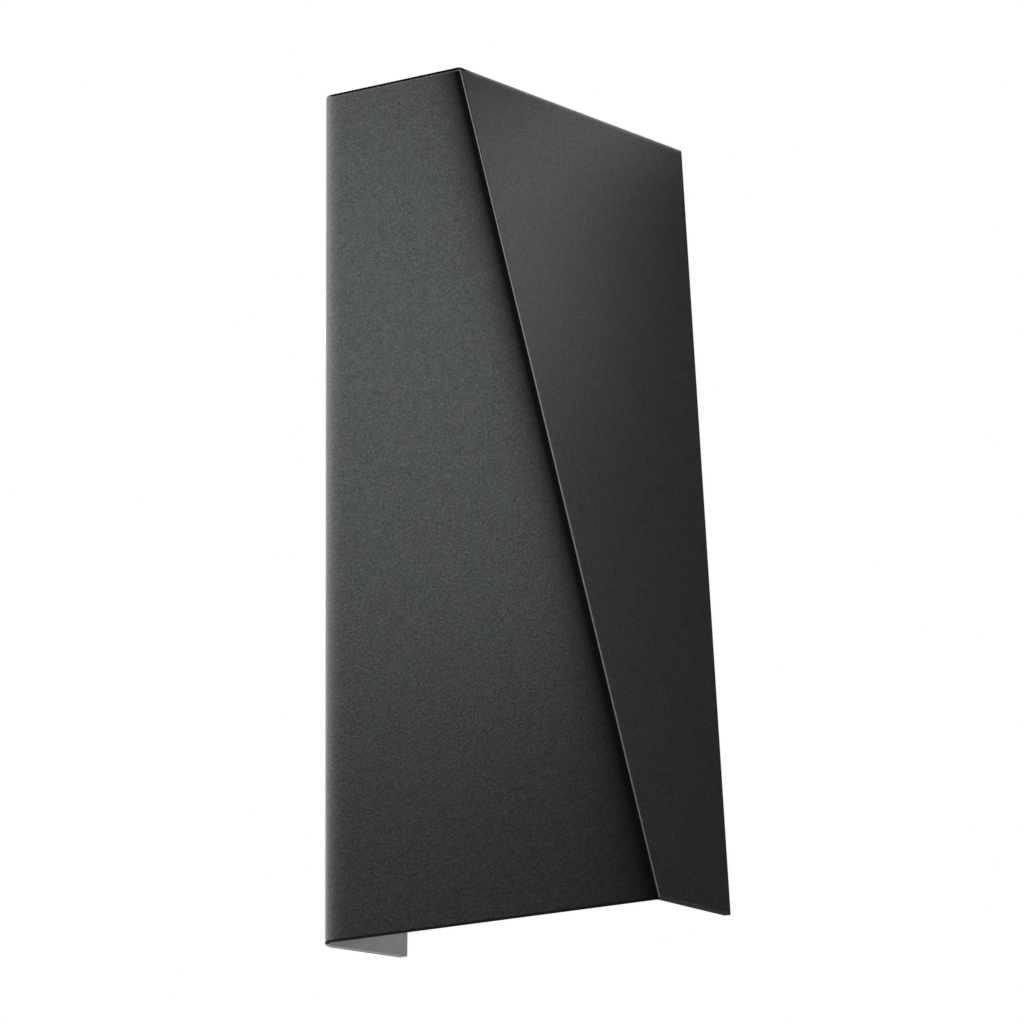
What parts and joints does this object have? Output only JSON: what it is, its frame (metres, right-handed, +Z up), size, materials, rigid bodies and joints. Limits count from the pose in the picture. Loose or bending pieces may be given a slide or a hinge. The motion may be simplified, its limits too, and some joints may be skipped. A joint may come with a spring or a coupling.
{
  "type": "folded led wall light",
  "caption": "Black wall light folded from one sheet, deep at the top and shallow at the foot, with a slanting crease; its light engine shines up and down the wall behind it.",
  "frame": {"origin": "midway between the two wall screw holes, on the wall face of the bracket", "axes": "+X to the right seen from the room, +Y into the wall, +Z up"},
  "size_m": [0.0905, 0.047, 0.24],
  "materials": {
    "shade_coat": "fine textured matt black powder coat, pale grey inside",
    "zinc_steel": "zinc plated sheet steel",
    "cast_aluminium": "die cast, bead blasted",
    "driver_case": "moulded white",
    "screw_steel": "zinc plated",
    "thumb_steel": "nickel plated, fluted",
    "terminal_plastic": "moulded pale grey",
    "button_plastic": "moulded orange",
    "earth_button_plastic": "moulded green",
    "live_insulation": "brown sleeve",
    "neutral_insulation": "blue sleeve",
    "earth_insulation": "green and yellow sleeve",
    "led_insulation": "red sleeve",
    "rubber": "moulded black rubber",
    "tinned_brass": "tinned",
    "pad_silicone": "soft heat pad",
    "board_white": "white solder mask on aluminium",
    "led_phosphor": "yellow phosphor",
    "lens_clear": "clear moulded acrylic, frosted inside",
    "bezel_coat": "matt black"
  },
  "bodies": {
    "base": {"wall_bracket": "zinc_steel", "light_engine_housing": "cast_aluminium", "driver_module": "driver_case", "housing_screws": "screw_steel", "terminal_block": "terminal_plastic", "terminal_screws": "screw_steel", "live_lead": "live_insulation", "neutral_lead": "neutral_insulation", "earth_lead": "earth_insulation", "lead_grommets": "rubber", "cable_grommet": "rubber", "earth_lug": "tinned_brass", "earth_screw": "screw_steel", "upper_thermal_pad": "pad_silicone", "upper_led_board": "board_white", "upper_led_chips": "led_phosphor", "upper_led_leads": "led_insulation", "upper_lens_gasket": "rubber", "upper_lens": "lens_clear", "upper_lens_bezel": "bezel_coat", "upper_bezel_screws": "screw_steel", "upper_thumb_screw": "thumb_steel", "lower_thermal_pad": "pad_silicone", "lower_led_board": "board_white", "lower_led_chips": "led_phosphor", "lower_led_leads": "led_insulation", "lower_lens_gasket": "rubber", "lower_lens": "lens_clear", "lower_lens_bezel": "bezel_coat", "lower_bezel_screws": "screw_steel", "lower_thumb_screw": "thumb_steel"},
    "shade": {"folded_shade": "shade_coat", "upper_shade_tab": "zinc_steel", "lower_shade_tab": "zinc_steel"},
    "live_button": {"live_release_button": "button_plastic"},
    "neutral_button": {"neutral_release_button": "button_plastic"},
    "earth_button": {"earth_release_button": "earth_button_plastic"}
  },
  "joints": [
    {"name": "shade_pull_off", "type": "slide", "parent": "base", "child": "shade", "axis": [0, -1, 0], "range_m": [0, 0.06]},
    {"name": "live_release_press", "type": "slide", "parent": "base", "child": "live_button", "axis": [0, 1, 0], "range_m": [0, 0.0012], "stiffness_N_per_m": 600},
    {"name": "neutral_release_press", "type": "slide", "parent": "base", "child": "neutral_button", "axis": [0, 1, 0], "range_m": [0, 0.0012], "stiffness_N_per_m": 600},
    {"name": "earth_release_press", "type": "slide", "parent": "base", "child": "earth_button", "axis": [0, 1, 0], "range_m": [0, 0.0012], "stiffness_N_per_m": 600}
  ]
}
